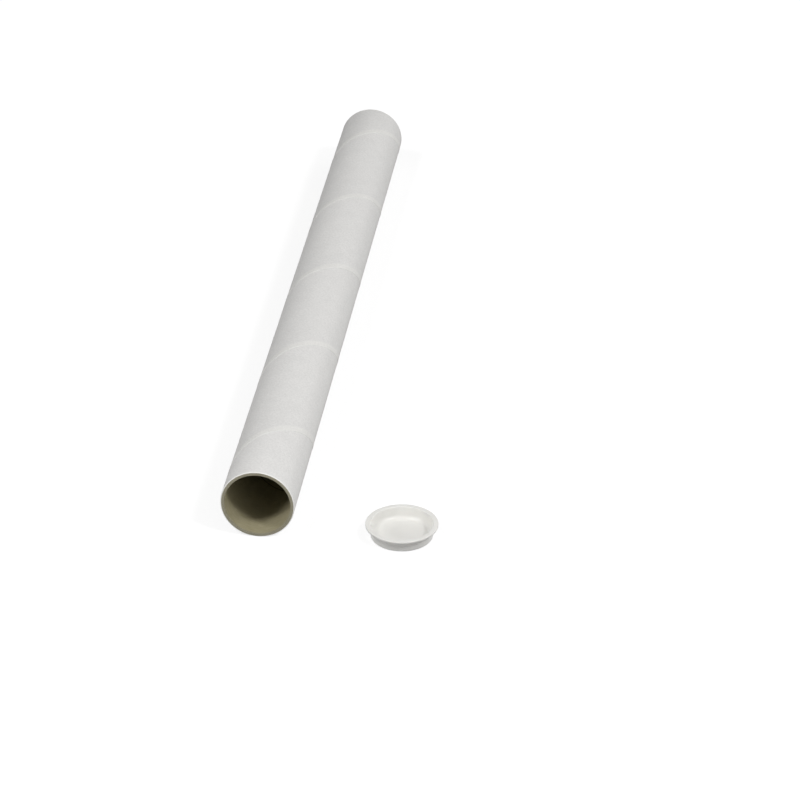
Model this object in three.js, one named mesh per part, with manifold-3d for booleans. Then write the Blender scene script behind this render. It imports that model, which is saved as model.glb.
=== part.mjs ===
import * as THREE from 'three';
import { mergeVertices } from 'three/addons/utils/BufferGeometryUtils.js';
import Module from 'manifold-3d';

// Spiral-wound mailing tube lying on its side, mouth open towards -Y, with one plug cap pushed
// into the far end and the other pulled out and set down beside the mouth. Millimetres, +Z up.

// Tube body
const tubeLength = 670;
const boreDiameter = 50;
const wallThickness = 3;

// Outer paper ply: a strip wound on a helix, each turn lapping over the edge of the last
const windPitch = 138.5;
const lapWidth = 7;
const lapRamp = 2;
const lapStep = 0.3;
const lapRoot = 1;
const lapFeather = 0.08;
const firstLapFromMouth = 59.7;

// Plug cap: shallow moulded cup with a flange that covers the cut end of the wall
const capHeight = 11;
const capSkin = 1;
const flangeThickness = 1.6;
const flangeInset = 0.5;
const plugClearance = 0.3;
const beadHeight = 0.25;
const beadLength = 1.6;
const beadFromBase = 6;
const plugTaper = 0.9;
const baseCorner = 1.6;
const floorFillet = 4;
const lipRound = 0.5;

// Where the loose cap lies, measured from the tube's axis and from its mouth
const looseCapAside = 107;
const looseCapPastMouth = 15;

// Roundness: flat sides to a full turn
const sides = 64;
const filletSteps = 4;

const boreRadius = boreDiameter / 2;
const tubeRadius = boreRadius + wallThickness;
const flangeRadius = tubeRadius - flangeInset;
const sideAngle = (2 * Math.PI) / sides;
const flatFactor = Math.cos(sideAngle / 2);
const axisHeight = (tubeRadius + lapStep) * flatFactor;

// Centre of the whole set's footprint, which the origin sits under
const leftEdge = -axisHeight;
const rightEdge = looseCapAside + flangeRadius * flatFactor;
const frontEdge = Math.min(0, looseCapPastMouth - flangeRadius * flatFactor);
const backEdge = tubeLength + flangeThickness;
const middleX = (leftEdge + rightEdge) / 2;
const middleY = (frontEdge + backEdge) / 2;

// Closed profile turned about the Y axis, with one flat side facing straight down
function turned(profile) {
  const points = profile.map(([radius, along]) => new THREE.Vector2(radius, along));
  return new THREE.LatheGeometry(points, sides, sideAngle / 2, 2 * Math.PI);
}

// Profile points on an arc, angles in degrees from the +radius direction
function arc(centreRadius, centreAlong, radius, fromDegrees, toDegrees) {
  const points = [];
  for (let step = 0; step <= filletSteps; step += 1) {
    const share = step / filletSteps;
    const angle = ((fromDegrees + (toDegrees - fromDegrees) * share) * Math.PI) / 180;
    points.push([centreRadius + radius * Math.cos(angle), centreAlong + radius * Math.sin(angle)]);
  }
  return points;
}

// Plain ring of board between two radii, from the mouth at 0 to the far end
function ring(inner, outer, length) {
  return turned([
    [inner, 0],
    [outer, 0],
    [outer, length],
    [inner, length],
    [inner, 0],
  ]);
}

// The raised lap of the outer ply: a strip swept along the helix, square at its cut edge and
// thinning to nothing on the other side. It starts and ends beyond the tube, for trimming.
function lapStrip() {
  const section = [
    [0, tubeRadius - lapRoot],
    [0, tubeRadius + lapStep],
    [lapWidth - lapRamp, tubeRadius + lapStep],
    [lapWidth, tubeRadius - lapFeather],
    [lapWidth, tubeRadius - lapRoot],
  ];
  const sidesPerLength = sides / windPitch;
  const spare = 2 * lapWidth;
  const sidesBefore = Math.ceil((firstLapFromMouth + spare) * sidesPerLength);
  const sidesAfter = Math.ceil((tubeLength - firstLapFromMouth + spare) * sidesPerLength);
  const positions = [];
  const faces = [];
  const corners = section.length;
  for (let side = -sidesBefore; side <= sidesAfter; side += 1) {
    const angle = (side + 0.5) * sideAngle;
    const along = firstLapFromMouth + ((side + 0.5) / sides) * windPitch;
    for (const [offset, radius] of section) {
      positions.push(radius * Math.sin(angle), along + offset, radius * Math.cos(angle));
    }
  }
  const rows = sidesBefore + sidesAfter + 1;
  for (let row = 0; row < rows - 1; row += 1) {
    for (let corner = 0; corner < corners; corner += 1) {
      const next = (corner + 1) % corners;
      const a = row * corners + corner;
      const b = row * corners + next;
      const c = a + corners;
      const d = b + corners;
      faces.push(a, c, b, b, c, d);
    }
  }
  const last = (rows - 1) * corners;
  for (let corner = 1; corner < corners - 1; corner += 1) {
    faces.push(0, corner, corner + 1);
    faces.push(last, last + corner + 1, last + corner);
  }
  const geometry = new THREE.BufferGeometry();
  geometry.setAttribute('position', new THREE.Float32BufferAttribute(positions, 3));
  geometry.setIndex(faces);
  return geometry;
}

const wasm = await Module();
wasm.setup();

function toSolid(geometry) {
  const bare = geometry.clone();
  bare.deleteAttribute('normal');
  bare.deleteAttribute('uv');
  const merged = mergeVertices(bare, 1e-4);
  const mesh = new wasm.Mesh({
    numProp: 3,
    vertProperties: new Float32Array(merged.attributes.position.array),
    triVerts: new Uint32Array(merged.index.array),
  });
  return new wasm.Manifold(mesh);
}

function toGeometry(solid) {
  const mesh = solid.getMesh();
  const geometry = new THREE.BufferGeometry();
  geometry.setAttribute('position', new THREE.Float32BufferAttribute(mesh.vertProperties, 3));
  geometry.setIndex(Array.from(mesh.triVerts));
  geometry.computeVertexNormals();
  return geometry;
}

// Tube: the wound board with the outer ply's lap standing proud, cut square at both ends
function tubeGeometry() {
  const board = toSolid(ring(boreRadius, tubeRadius, tubeLength));
  const reach = tubeRadius + wallThickness;
  const trim = toSolid(ring(boreRadius, reach, tubeLength));
  const lap = toSolid(lapStrip()).intersect(trim);
  return toGeometry(board.add(lap));
}

// Plug cap, open side towards +Y: base, tapered wall with one sealing bead, flange, dished inside
function capGeometry() {
  const wallTop = capHeight - flangeThickness;
  const topRadius = boreRadius - plugClearance - beadHeight;
  const wallRadius = (along) => topRadius - plugTaper * (1 - along / wallTop);
  const insideRadius = (along) => wallRadius(along) - capSkin;
  const outerLip = flangeRadius - lipRound;
  const innerTop = insideRadius(wallTop);
  const profile = [
    [0, 0],
    ...arc(wallRadius(baseCorner) - baseCorner, baseCorner, baseCorner, -90, 0),
    [wallRadius(beadFromBase - beadLength / 2), beadFromBase - beadLength / 2],
    [wallRadius(beadFromBase) + beadHeight, beadFromBase],
    [wallRadius(beadFromBase + beadLength / 2), beadFromBase + beadLength / 2],
    [topRadius, wallTop],
    [flangeRadius, wallTop],
    [flangeRadius, capHeight - lipRound],
    [outerLip, capHeight],
    [innerTop + lipRound, capHeight],
    [innerTop, capHeight - lipRound],
    ...arc(insideRadius(capSkin + floorFillet) - floorFillet, capSkin + floorFillet, floorFillet, 0, -90),
    [0, capSkin],
  ];
  return turned(profile);
}

function piece(name, geometry, colour, roughness) {
  const material = new THREE.MeshStandardMaterial({ color: colour, roughness, metalness: 0 });
  const mesh = new THREE.Mesh(geometry, material);
  mesh.name = name;
  return mesh;
}

const paperWhite = 0xdad9d7;
const plasticWhite = 0xeceae4;

const tube = tubeGeometry();
tube.translate(-middleX, -middleY, axisHeight);

const farCap = capGeometry();
farCap.translate(-middleX, tubeLength - (capHeight - flangeThickness) - middleY, axisHeight);

const looseCap = capGeometry();
looseCap.rotateX(Math.PI / 2);
looseCap.translate(looseCapAside - middleX, looseCapPastMouth - middleY, 0);

const part = new THREE.Group();
part.name = 'paper_tube';
part.add(piece('tube', tube, paperWhite, 0.85));
part.add(piece('far_cap', farCap, plasticWhite, 0.45));
part.add(piece('loose_cap', looseCap, plasticWhite, 0.45));

export default part;
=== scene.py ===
import bmesh
import bpy
from math import atan2, cos, hypot, pi, radians, sin, sqrt
from mathutils import Matrix, Vector


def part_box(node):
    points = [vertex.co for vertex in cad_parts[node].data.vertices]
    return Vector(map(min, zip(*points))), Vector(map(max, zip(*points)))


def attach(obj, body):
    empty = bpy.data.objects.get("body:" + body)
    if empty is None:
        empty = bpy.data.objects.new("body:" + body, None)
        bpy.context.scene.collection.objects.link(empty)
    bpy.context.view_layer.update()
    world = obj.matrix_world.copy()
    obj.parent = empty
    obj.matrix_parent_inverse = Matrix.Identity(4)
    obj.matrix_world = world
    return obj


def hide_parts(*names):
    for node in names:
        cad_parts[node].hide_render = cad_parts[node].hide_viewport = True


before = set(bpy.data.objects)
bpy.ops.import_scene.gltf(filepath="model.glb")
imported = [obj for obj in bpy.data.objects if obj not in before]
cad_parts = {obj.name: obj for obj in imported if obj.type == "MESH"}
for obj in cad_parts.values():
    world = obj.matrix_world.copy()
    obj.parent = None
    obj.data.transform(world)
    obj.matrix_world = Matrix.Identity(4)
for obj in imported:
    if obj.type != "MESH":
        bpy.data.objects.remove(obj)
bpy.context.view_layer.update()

# Camera
# A long lens from in front of the tube's mouth, a little to its right and looking down on it. It
# holds the tube where the photograph has it.

MM = 0.001
CAMERA_ASIDE = 339.9 * MM
CAMERA_BEFORE_MOUTH = 1924.8 * MM
CAMERA_HEIGHT = 1209.3 * MM
LOOK_DOWN = 29.216
LOOK_LEFT = 6.888

tube_low, tube_high = (Vector(corner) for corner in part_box("tube"))
axis_x = (tube_low.x + tube_high.x) / 2
axis_z = (tube_low.z + tube_high.z) / 2
mouth_y = tube_low.y
camera_data = bpy.data.cameras.new("camera")
camera_data.sensor_width = 36
camera_data.lens = 137.4
camera_data.clip_end = 50
camera = bpy.data.objects.new("camera", camera_data)
camera.location = (axis_x + CAMERA_ASIDE, mouth_y - CAMERA_BEFORE_MOUTH, CAMERA_HEIGHT)
camera.rotation_euler = (radians(90 - LOOK_DOWN), 0, radians(LOOK_LEFT))
bpy.context.scene.collection.objects.link(camera)
bpy.context.scene.camera = camera

# Tube
# A spiral-wound tube: brown kraft board with a strip of white paper wound over it on a helix, each
# turn lapped over the edge of the last. It is cut square, and the cut turns the paper's edge in.

BORE_RADIUS = 25 * MM
TUBE_RADIUS = 28 * MM
TUBE_LENGTH = tube_high.y - tube_low.y
WIND_PITCH = 138.5 * MM
FIRST_LAP = 59.7 * MM
LAP_WIDTH = 7 * MM
LAP_RAMP = 2 * MM
LAP_CREASE = 0.08 * MM
PLY_THICKNESS = 0.15 * MM
EDGE_ROUND = 0.7 * MM
EDGE_STEPS = 4
BORE_CHAMFER = 0.25 * MM
ROWS_PER_TURN = 192
TURNS_BEFORE_MOUTH = 1.2
TURNS_PAST_END = 0.2
MERGE_GAP = 0.005 * MM


def linear(code):
    """Linear colour of an sRGB hex code."""
    channels = (int(code[at:at + 2], 16) / 255 for at in (1, 3, 5))
    return tuple(c / 12.92 if c <= 0.04045 else ((c + 0.055) / 1.055) ** 2.4 for c in channels) + (1,)


def new_material(name):
    """Material with an empty node tree."""
    material = bpy.data.materials.new(name)
    material.use_nodes = True
    material.node_tree.nodes.clear()
    return material


def node(owner, kind, inputs=None, stops=(), **settings):
    """Adds a node. An input is a value or another node's socket; stops are a ramp's (place, hex)."""
    tree = owner.node_tree
    added = tree.nodes.new("ShaderNode" + kind)
    for key, value in settings.items():
        setattr(added, key, value)
    for key, value in (inputs or {}).items():
        if isinstance(value, bpy.types.NodeSocket):
            tree.links.new(value, added.inputs[key])
        else:
            added.inputs[key].default_value = value
    for _ in stops[2:]:
        added.color_ramp.elements.new(1)
    for index, (place, code) in enumerate(stops):
        added.color_ramp.elements[index].position = place
        added.color_ramp.elements[index].color = linear(code)
    return added


# White paper ply: matt machine-made paper, so its tone is a little cloudy, with fibres along the
# wind. It is whiter on the lap, where two thicknesses hide the brown board. The turned-in edge,
# which the wind map puts to one side of the strip, is given a whiter colour as a painted highlight
# for the light its rounding catches. Sizes are in the map's millimetres, and the fibres, far finer
# on real paper, are drawn coarse enough to show.
PAPER_FIBRE = 0.6
PAPER_FIBRE_LENGTH = 2.4
PAPER_CLOUD = 1.7
PAPER_MOTTLE = 11
FIBRE_SHARE = 0.6
MOTTLE_SHARE = 0.35
TONE_SCALE = 0.62
DARKEST_AT = 0.46
LIGHTEST_AT = 0.74
LAP_FADE = 1.8
LAP_WANDER = 3
EDGE_MAP_X = -5

paper = new_material("white_paper_ply")
wind = node(paper, "UVMap", uv_map="Wind")
across = node(paper, "SeparateXYZ", {0: wind.outputs[0]})
fibre_space = node(paper, "Mapping", {"Vector": wind.outputs[0],
                                      "Scale": (1, PAPER_FIBRE / PAPER_FIBRE_LENGTH, 1)})
fibres = node(paper, "TexNoise", {"Vector": fibre_space.outputs[0], "Scale": 1 / PAPER_FIBRE,
                                  "Detail": 5, "Roughness": 0.6})
clouds = node(paper, "TexNoise", {"Vector": wind.outputs[0], "Scale": 1 / PAPER_CLOUD,
                                  "Detail": 3, "Roughness": 0.6})
mottle = node(paper, "TexNoise", {"Vector": wind.outputs[0], "Scale": 1 / PAPER_MOTTLE,
                                  "Detail": 3, "Roughness": 0.55})
mottled = node(paper, "Math", {0: mottle.outputs[0], 1: MOTTLE_SHARE, 2: clouds.outputs[0]},
               operation="MULTIPLY_ADD")
flecked = node(paper, "Math", {0: fibres.outputs[0], 1: FIBRE_SHARE, 2: mottled.outputs[0]},
               operation="MULTIPLY_ADD")
tone = node(paper, "Math", {0: flecked.outputs[0], 1: TONE_SCALE}, operation="MULTIPLY")
single = node(paper, "ValToRGB", {"Fac": tone.outputs[0]},
              [(DARKEST_AT, "#d9d8d6"), (LIGHTEST_AT, "#e7e6e4")])
doubled = node(paper, "ValToRGB", {"Fac": tone.outputs[0]},
               [(DARKEST_AT, "#deddda"), (LIGHTEST_AT, "#ecebe8")])
wander = node(paper, "Math", {0: clouds.outputs[0], 1: LAP_WANDER, 2: across.outputs[0]},
              operation="MULTIPLY_ADD")
lap_end = LAP_WIDTH / MM + LAP_WANDER / 2
on_lap = node(paper, "MapRange", {"Value": wander.outputs[0], "From Min": lap_end - LAP_FADE,
                                  "From Max": lap_end, "To Min": 1, "To Max": 0},
              interpolation_type="SMOOTHSTEP")
lapped = node(paper, "Mix", {0: on_lap.outputs[0], 6: single.outputs[0], 7: doubled.outputs[0]},
              data_type="RGBA")
# Painted highlight: the rounded paper edge at each cut is coloured a whiter #f2f1ed in place of the
# light it catches.
at_edge = node(paper, "Math", {0: across.outputs[0], 1: EDGE_MAP_X / 2}, operation="LESS_THAN")
painted_edge_highlight = node(paper, "Mix", {0: at_edge.outputs[0], 6: lapped.outputs[2], 7: linear("#f2f1ed")},
                 data_type="RGBA")
paper_bump = node(paper, "Bump", {"Strength": 0.12, "Distance": 0.05 * MM, "Height": fibres.outputs[0]})
paper_shader = node(paper, "BsdfPrincipled", {"Base Color": painted_edge_highlight.outputs[2],
                                              "Normal": paper_bump.outputs[0],
                                              "Roughness": 0.72, "Specular IOR Level": 0.2})
node(paper, "OutputMaterial", {"Surface": paper_shader.outputs[0]})

# Cut board edge: the sawn end of the wound board, dry and grey-brown, with a fine dark line
# between each ply and the next. The plies are in millimetres.
BOARD_PLY = 0.6
PLY_LINE = 0.12
CUT_GRAIN = 0.45 * MM

cut_edge = new_material("cut_board_edge")
cut_place = node(cut_edge, "TexCoord")
from_axis = node(cut_edge, "VectorMath", {0: cut_place.outputs["Object"], 1: (axis_x, 0, axis_z)},
                 operation="SUBTRACT")
flattened = node(cut_edge, "VectorMath", {0: from_axis.outputs[0], 1: (1 / MM, 0, 1 / MM)},
                 operation="MULTIPLY")
reach = node(cut_edge, "VectorMath", {0: flattened.outputs[0]}, operation="LENGTH")
plies = node(cut_edge, "Math", {0: reach.outputs["Value"], 1: BOARD_PLY / 2}, operation="PINGPONG")
ply_line = node(cut_edge, "MapRange", {"Value": plies.outputs[0], "From Min": 0,
                                       "From Max": PLY_LINE, "To Min": 1, "To Max": 0})
cut_grain = node(cut_edge, "TexNoise", {"Vector": cut_place.outputs["Object"],
                                        "Scale": 1 / CUT_GRAIN, "Detail": 4, "Roughness": 0.65})
cut_tone = node(cut_edge, "ValToRGB", {"Fac": cut_grain.outputs[0]},
                [(0.3, "#928e7b"), (0.7, "#aca794")])
cut_lined = node(cut_edge, "Mix", {0: ply_line.outputs[0], 6: cut_tone.outputs[0],
                                   7: linear("#cfcbc0")},
                 data_type="RGBA", blend_type="MULTIPLY")
cut_height = node(cut_edge, "Math", {0: cut_grain.outputs[0], 1: ply_line.outputs[0]},
                  operation="SUBTRACT")
cut_bump = node(cut_edge, "Bump", {"Strength": 0.5, "Distance": 0.1 * MM,
                                   "Height": cut_height.outputs[0]})
cut_shader = node(cut_edge, "BsdfPrincipled", {"Base Color": cut_lined.outputs[2],
                                               "Normal": cut_bump.outputs[0],
                                               "Roughness": 0.9, "Specular IOR Level": 0.2})
node(cut_edge, "OutputMaterial", {"Surface": cut_shader.outputs[0]})

# Kraft liner: the inner ply, brown and slightly polished by the mandrel it was wound on, with long
# fibres, a dark line where its edges meet on the helix, and another round the cut. Sizes are in
# the wind map's millimetres, which run along and round the bore here.
KRAFT_FIBRE = 0.9
KRAFT_FIBRE_LENGTH = 7.5
BUTT_CORE = 0.2
BUTT_LINE = 0.6

kraft = new_material("kraft_liner")
bore_wind = node(kraft, "UVMap", uv_map="Wind")
bore_parts = node(kraft, "SeparateXYZ", {0: bore_wind.outputs[0]})
wound = node(kraft, "Math", {0: bore_parts.outputs["Y"], 1: -WIND_PITCH / (2 * pi * BORE_RADIUS),
                             2: bore_parts.outputs["X"]},
             operation="MULTIPLY_ADD")
from_butt = node(kraft, "Math", {0: wound.outputs[0], 1: WIND_PITCH / MM / 2}, operation="PINGPONG")
from_line = node(kraft, "Math", {0: from_butt.outputs[0], 1: bore_parts.outputs["X"]},
                 operation="MINIMUM")
butt_line = node(kraft, "MapRange", {"Value": from_line.outputs[0], "From Min": BUTT_CORE,
                                     "From Max": BUTT_LINE, "To Min": 1, "To Max": 0})
kraft_space = node(kraft, "Mapping", {"Vector": bore_wind.outputs[0],
                                      "Scale": (1, KRAFT_FIBRE / KRAFT_FIBRE_LENGTH, 1)})
kraft_fibre = node(kraft, "TexNoise", {"Vector": kraft_space.outputs[0], "Scale": 1 / KRAFT_FIBRE,
                                       "Detail": 6, "Roughness": 0.62})
kraft_tone = node(kraft, "ValToRGB", {"Fac": kraft_fibre.outputs[0]},
                  [(0.3, "#928b6f"), (0.5, "#9e977b"), (0.72, "#a9a288")])
kraft_lined = node(kraft, "Mix", {0: butt_line.outputs[0], 6: kraft_tone.outputs[0],
                                  7: linear("#5c543e")},
                   data_type="RGBA")
kraft_bump = node(kraft, "Bump", {"Strength": 0.25, "Distance": 0.08 * MM,
                                  "Height": kraft_fibre.outputs[0]})
kraft_shader = node(kraft, "BsdfPrincipled", {"Base Color": kraft_lined.outputs[2],
                                              "Normal": kraft_bump.outputs[0],
                                              "Roughness": 0.68, "Specular IOR Level": 0.4})
node(kraft, "OutputMaterial", {"Surface": kraft_shader.outputs[0]})


def finish_mesh(name, mesh_edit, materials, sharp_from=radians(32)):
    """Turns an edited mesh into a smooth-shaded object with its sharp edges kept."""
    bmesh.ops.recalc_face_normals(mesh_edit, faces=mesh_edit.faces)
    for edge in mesh_edit.edges:
        edge.smooth = edge.calc_face_angle(0) < sharp_from
    for face in mesh_edit.faces:
        face.smooth = True
    mesh = bpy.data.meshes.new(name)
    mesh_edit.to_mesh(mesh)
    mesh_edit.free()
    for material in materials:
        mesh.materials.append(material)
    piece = bpy.data.objects.new(name, mesh)
    bpy.context.scene.collection.objects.link(piece)
    return piece


def ring_point(radius, angle, along):
    """Point of the tube: angle turns clockwise from the top, as seen from the mouth."""
    return Vector((axis_x + radius * sin(angle), mouth_y + along, axis_z + radius * cos(angle)))


def ring_place(point, near=0):
    """Radius, angle and distance from the mouth of a point, with the angle nearest to another."""
    angle = atan2(point.x - axis_x, point.z - axis_z)
    angle += 2 * pi * round((near - angle) / (2 * pi))
    return hypot(point.x - axis_x, point.z - axis_z), angle, point.y - mouth_y


# One turn of the paper, from the square edge of its lap to the same edge a pitch further on, is
# spun round the axis and along it until it covers the tube. Then both ends are cut off square.
LAP_TOP = TUBE_RADIUS + PLY_THICKNESS
rows_before = int((FIRST_LAP / WIND_PITCH + TURNS_BEFORE_MOUTH) * ROWS_PER_TURN)
rows_after = int(((TUBE_LENGTH - FIRST_LAP) / WIND_PITCH + TURNS_PAST_END) * ROWS_PER_TURN)
rows = rows_before + rows_after
start_angle = -2 * pi * rows_before / ROWS_PER_TURN
start_along = FIRST_LAP - WIND_PITCH * rows_before / ROWS_PER_TURN
strip = [
    (0, TUBE_RADIUS),
    (LAP_CREASE / 4, LAP_TOP - LAP_CREASE / 2),
    (LAP_CREASE, LAP_TOP),
    (LAP_WIDTH - LAP_RAMP, LAP_TOP),
    (LAP_WIDTH, TUBE_RADIUS),
    (WIND_PITCH / 2, TUBE_RADIUS),
    (WIND_PITCH, TUBE_RADIUS),
]
tube_edit = bmesh.new()
wind_map = tube_edit.loops.layers.uv.new("Wind")
section = [tube_edit.verts.new(ring_point(radius, start_angle, start_along + offset))
           for offset, radius in strip]
section_edges = [tube_edit.edges.new(pair) for pair in zip(section, section[1:])]
bmesh.ops.spin(tube_edit, geom=section + section_edges, cent=(axis_x, mouth_y, axis_z), axis=(0, 1, 0),
               dvec=(0, WIND_PITCH / ROWS_PER_TURN, 0), angle=2 * pi * rows / ROWS_PER_TURN, steps=rows)
bmesh.ops.remove_doubles(tube_edit, verts=tube_edit.verts, dist=MERGE_GAP)
for along, outward in ((EDGE_ROUND, -1), (TUBE_LENGTH - EDGE_ROUND, 1)):
    everything = tube_edit.verts[:] + tube_edit.edges[:] + tube_edit.faces[:]
    bmesh.ops.bisect_plane(tube_edit, geom=everything, dist=MERGE_GAP / 10, clear_outer=True,
                           plane_co=(0, mouth_y + along, 0), plane_no=(0, outward, 0))

# The wind map runs across and along the paper strip, in millimetres, from its square edge.
slope = hypot(1, WIND_PITCH / (2 * pi * TUBE_RADIUS))
for face in tube_edit.faces:
    _, middle_angle, middle_along = ring_place(face.calc_center_median())
    winding = (middle_along - FIRST_LAP - middle_angle / (2 * pi) * WIND_PITCH) // WIND_PITCH
    for loop in face.loops:
        _, angle, along = ring_place(loop.vert.co, middle_angle)
        turn = angle / (2 * pi) + winding
        offset = along - FIRST_LAP - turn * WIND_PITCH
        run = turn * 2 * pi * TUBE_RADIUS * slope
        loop[wind_map].uv = (offset / slope / MM, (run + offset * sqrt(1 - 1 / slope ** 2)) / MM)


def map_round(faces, across_at):
    """Maps faces by their run round the axis and by the value that across_at gives for along."""
    for face in faces:
        _, middle_angle, _ = ring_place(face.calc_center_median())
        for loop in face.loops:
            radius, angle, along = ring_place(loop.vert.co, middle_angle)
            loop[wind_map].uv = (across_at(along), angle * radius / MM)


def grow_rim(edges, radius_at, along, slot):
    """Extrudes an end's open loop of edges to a new distance along and the radius radius_at gives."""
    grown = bmesh.ops.extrude_edge_only(tube_edit, edges=edges)["geom"]
    for vert in (item for item in grown if isinstance(item, bmesh.types.BMVert)):
        radius, angle, _ = ring_place(vert.co)
        vert.co = ring_point(radius_at(radius), angle, along)
    faces = [item for item in grown if isinstance(item, bmesh.types.BMFace)]
    for face in faces:
        face.material_index = slot
    map_round(faces, lambda along: EDGE_MAP_X)
    return [item for item in grown if isinstance(item, bmesh.types.BMEdge) and item.is_boundary]


# Each end: the paper's rounded edge, the cut across the board, and a small chamfer to the bore.
bore_loops = []
for end, inward in ((0, 1), (TUBE_LENGTH, -1)):
    start = mouth_y + end + inward * EDGE_ROUND
    rim = [edge for edge in tube_edit.edges
           if edge.is_boundary and all(abs(vert.co.y - start) < 2 * MERGE_GAP for vert in edge.verts)]
    for step in range(EDGE_STEPS):
        before = radians(90) * step / EDGE_STEPS
        after = radians(90) * (step + 1) / EDGE_STEPS
        drop = EDGE_ROUND * (cos(before) - cos(after))
        turned_to = end + inward * EDGE_ROUND * (1 - sin(after))
        rim = grow_rim(rim, lambda radius: radius - drop, turned_to, 0)
    rim = grow_rim(rim, lambda radius: BORE_RADIUS + BORE_CHAMFER, end, 1)
    bore_loops += grow_rim(rim, lambda radius: BORE_RADIUS, end + inward * BORE_CHAMFER, 1)
bore = bmesh.ops.bridge_loops(tube_edit, edges=bore_loops)["faces"]
for face in bore:
    face.material_index = 2
map_round(bore, lambda along: along / MM)

tube = finish_mesh("wound_tube", tube_edit, (paper, cut_edge, kraft))
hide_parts("tube")
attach(tube, "tube_body")

# Plug caps
# Two alike, each moulded in one shot of white polyethylene: a shallow cup whose tapered wall and
# bead grip the bore, with a flange that stops on the cut end. One is in the far end, one is out.

CAP_HEIGHT = 11 * MM
CAP_SKIN = 1 * MM
FLANGE_RADIUS = 27.5 * MM
FLANGE_THICKNESS = 1.6 * MM
FLANGE_ROUND = 0.3 * MM
LIP_ROUND = 0.5 * MM
PLUG_CLEARANCE = 0.3 * MM
PLUG_TAPER = 0.9 * MM
BEAD_HEIGHT = 0.25 * MM
BEAD_LENGTH = 1.6 * MM
BEAD_FROM_BASE = 6 * MM
BEAD_ROUND = 0.35 * MM
BASE_CORNER = 1.6 * MM
FLOOR_FILLET = 4 * MM
CAP_SIDES = 160

# Milky polyethylene: a soft moulded sheen with fine grain, and light that goes a little way in.
MOULD_GRAIN = 0.55 * MM
MILKY_CLOUD = 17 * MM

plastic = new_material("white_polyethylene")
cap_place = node(plastic, "TexCoord")
grain = node(plastic, "TexNoise", {"Vector": cap_place.outputs["Object"], "Scale": 1 / MOULD_GRAIN,
                                   "Detail": 3, "Roughness": 0.6})
milk = node(plastic, "TexNoise", {"Vector": cap_place.outputs["Object"], "Scale": 1 / MILKY_CLOUD,
                                  "Detail": 2, "Roughness": 0.5})
cap_tone = node(plastic, "ValToRGB", {"Fac": milk.outputs[0]}, [(0.3, "#e3e2de"), (0.7, "#e9e8e4")])
cap_bump = node(plastic, "Bump", {"Strength": 0.08, "Distance": 0.05 * MM, "Height": grain.outputs[0]})
plastic_shader = node(plastic, "BsdfPrincipled", {"Base Color": cap_tone.outputs[0],
                                                  "Normal": cap_bump.outputs[0],
                                                  "Roughness": 0.3, "IOR": 1.51,
                                                  "Subsurface Weight": 0.06,
                                                  "Subsurface Radius": (1, 0.9, 0.8),
                                                  "Subsurface Scale": 1.5 * MM})
node(plastic, "OutputMaterial", {"Surface": plastic_shader.outputs[0]})


def fillet(centre, radius, start, stop, steps):
    """Points (radius, height) of an arc, with angles in degrees from outwards."""
    angles = [radians(start + (stop - start) * step / steps) for step in range(steps + 1)]
    return [(centre[0] + radius * cos(angle), centre[1] + radius * sin(angle)) for angle in angles]


# Profile from the middle of the base, up the tapered wall with its bead, round the flange and
# down inside to the middle of the cup's floor.
wall_top = CAP_HEIGHT - FLANGE_THICKNESS
top_radius = BORE_RADIUS - PLUG_CLEARANCE - BEAD_HEIGHT
inner_top = top_radius - CAP_SKIN


def wall(height):
    """Outer radius of the tapered wall."""
    return top_radius - PLUG_TAPER * (1 - height / wall_top)


bead_low = BEAD_FROM_BASE - BEAD_LENGTH / 2
bead_high = BEAD_FROM_BASE + BEAD_LENGTH / 2
bead_centre = wall(BEAD_FROM_BASE) + BEAD_HEIGHT - BEAD_ROUND
floor_centre = CAP_SKIN + FLOOR_FILLET
profile = [
    (0, 0),
    *fillet((wall(BASE_CORNER) - BASE_CORNER, BASE_CORNER), BASE_CORNER, -90, 0, 8),
    (wall(bead_low), bead_low),
    *fillet((bead_centre, BEAD_FROM_BASE), BEAD_ROUND, -50, 50, 4),
    (wall(bead_high), bead_high),
    (wall(wall_top - FLANGE_ROUND), wall_top - FLANGE_ROUND),
    (top_radius + FLANGE_ROUND, wall_top),
    *fillet((FLANGE_RADIUS - FLANGE_ROUND, wall_top + FLANGE_ROUND), FLANGE_ROUND, -90, 0, 3),
    *fillet((FLANGE_RADIUS - LIP_ROUND, CAP_HEIGHT - LIP_ROUND), LIP_ROUND, 0, 90, 6),
    *fillet((inner_top + LIP_ROUND, CAP_HEIGHT - LIP_ROUND), LIP_ROUND, 90, 180, 6),
    *fillet((wall(floor_centre) - floor_centre, floor_centre), FLOOR_FILLET, 0, -90, 10),
    (0, CAP_SKIN),
]


def plug_cap(name, place):
    """Turns the profile, base at height 0 and open side up, then puts the cap in its place."""
    cap_edit = bmesh.new()
    verts = [cap_edit.verts.new((radius, 0, height)) for radius, height in profile]
    edges = [cap_edit.edges.new(pair) for pair in zip(verts, verts[1:])]
    bmesh.ops.spin(cap_edit, geom=verts + edges, cent=(0, 0, 0), axis=(0, 0, 1), angle=2 * pi,
                   steps=CAP_SIDES, use_merge=True)
    bmesh.ops.remove_doubles(cap_edit, verts=cap_edit.verts, dist=MERGE_GAP)
    bmesh.ops.transform(cap_edit, matrix=place, verts=cap_edit.verts)
    return finish_mesh(name, cap_edit, (plastic,))


# The far cap is turned to face away from the mouth and sits in the tube's end.
far_low, _ = (Vector(corner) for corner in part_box("far_cap"))
far_place = Matrix.Translation((axis_x, far_low.y, axis_z)) @ Matrix.Rotation(-pi / 2, 4, "X")
far_cap = plug_cap("fitted_plug_cap", far_place)
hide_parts("far_cap")
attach(far_cap, "far_cap_body")

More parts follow.
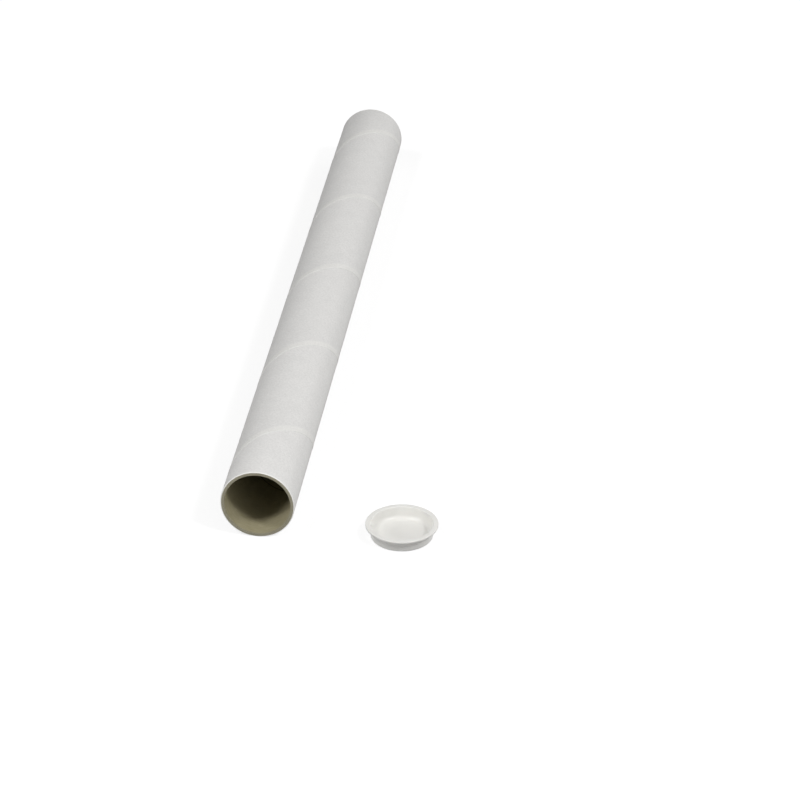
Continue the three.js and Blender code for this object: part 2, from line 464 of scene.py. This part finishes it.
# The loose cap lies on the floor beside the mouth, open side up.
loose_low, loose_high = (Vector(corner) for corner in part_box("loose_cap"))
loose_middle = (loose_low + loose_high) / 2
loose_place = Matrix.Translation((loose_middle.x, loose_middle.y, loose_low.z))
loose_cap = plug_cap("loose_plug_cap", loose_place)
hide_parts("loose_cap")
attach(loose_cap, "tube_body")

# Floor
# A sheet of pale background paper. It reads white to the camera and in reflections, and sends
# only a soft grey light back up at the tube and the cap.

FLOOR_REACH = 4
FLOOR_CLOUD = 0.33
FLOOR_GLOW = 0.8

floor_material = new_material("pale_floor")
floor_place = node(floor_material, "TexCoord")
floor_cloud = node(floor_material, "TexNoise", {"Vector": floor_place.outputs["Object"],
                                                "Scale": 1 / FLOOR_CLOUD, "Detail": 2})
floor_tone = node(floor_material, "ValToRGB", {"Fac": floor_cloud.outputs[0]},
                  [(0.3, "#868686"), (0.7, "#8a8a8a")])
floor_rays = node(floor_material, "LightPath")
floor_mirrored = node(floor_material, "Math", {0: floor_rays.outputs["Is Glossy Ray"],
                                               1: floor_rays.outputs["Is Transmission Ray"]},
                      operation="MAXIMUM")
floor_seen = node(floor_material, "Math", {0: floor_rays.outputs["Is Camera Ray"],
                                           1: floor_mirrored.outputs[0]},
                  operation="MAXIMUM")
floor_colour = node(floor_material, "Mix", {0: floor_seen.outputs[0], 6: floor_tone.outputs[0],
                                            7: linear("#959595")},
                    data_type="RGBA")
floor_glow = node(floor_material, "Math", {0: floor_seen.outputs[0], 1: FLOOR_GLOW},
                  operation="MULTIPLY")
floor_shader = node(floor_material, "BsdfPrincipled", {"Base Color": floor_colour.outputs[2],
                                                       "Emission Color": (1, 1, 1, 1),
                                                       "Emission Strength": floor_glow.outputs[0],
                                                       "Roughness": 0.9, "Specular IOR Level": 0.1})
node(floor_material, "OutputMaterial", {"Surface": floor_shader.outputs[0]})
floor_edit = bmesh.new()
bmesh.ops.create_grid(floor_edit, x_segments=8, y_segments=8, size=FLOOR_REACH)
floor = finish_mesh("floor", floor_edit, (floor_material,))

# Light
# A white tent round the set, dim on the left and bright on the right, and three soft boxes, one
# from high on the right and two from the left. The tent reads white to the camera.

TENT_DIM = 0.08
TENT_BRIGHT = 1.08

world = bpy.data.worlds.new("tent")
world.use_nodes = True
world.node_tree.nodes.clear()
tent_aim = node(world, "TexCoord")
tent_side = node(world, "SeparateXYZ", {0: tent_aim.outputs["Generated"]})
tent_light = node(world, "MapRange", {"Value": tent_side.outputs["X"], "From Min": 0, "From Max": 1,
                                      "To Min": TENT_DIM, "To Max": TENT_BRIGHT})
tent_rays = node(world, "LightPath")
tent_mirrored = node(world, "Math", {0: tent_rays.outputs["Is Glossy Ray"],
                                     1: tent_rays.outputs["Is Transmission Ray"]},
                     operation="MAXIMUM")
tent_seen = node(world, "Math", {0: tent_rays.outputs["Is Camera Ray"], 1: tent_mirrored.outputs[0]},
                 operation="MAXIMUM")
tent_level = node(world, "Mix", {0: tent_seen.outputs[0], 2: tent_light.outputs[0], 3: 1},
                  data_type="FLOAT")
tent = node(world, "Background", {"Color": (1, 1, 1, 1), "Strength": tent_level.outputs[0]})
node(world, "OutputWorld", {"Surface": tent.outputs[0]})
bpy.context.scene.world = world


def soft_box(name, place, size, power):
    """Square soft light aimed at the tube's mouth."""
    data = bpy.data.lights.new(name, "AREA")
    data.size = size
    data.energy = power
    lamp = bpy.data.objects.new(name, data)
    lamp.location = place
    aim = Vector((axis_x, mouth_y, axis_z)) - Vector(place)
    lamp.rotation_euler = aim.to_track_quat("-Z", "Y").to_euler()
    bpy.context.scene.collection.objects.link(lamp)


soft_box("right_high", (2.42, -1.79, 3.23), 0.7, 70)
soft_box("left_high", (-1.80, -2.05, 3.56), 0.7, 61)
soft_box("left_low", (-3.28, -2.91, 1.21), 1.1, 50)

bpy.context.scene.view_settings.view_transform = "Standard"
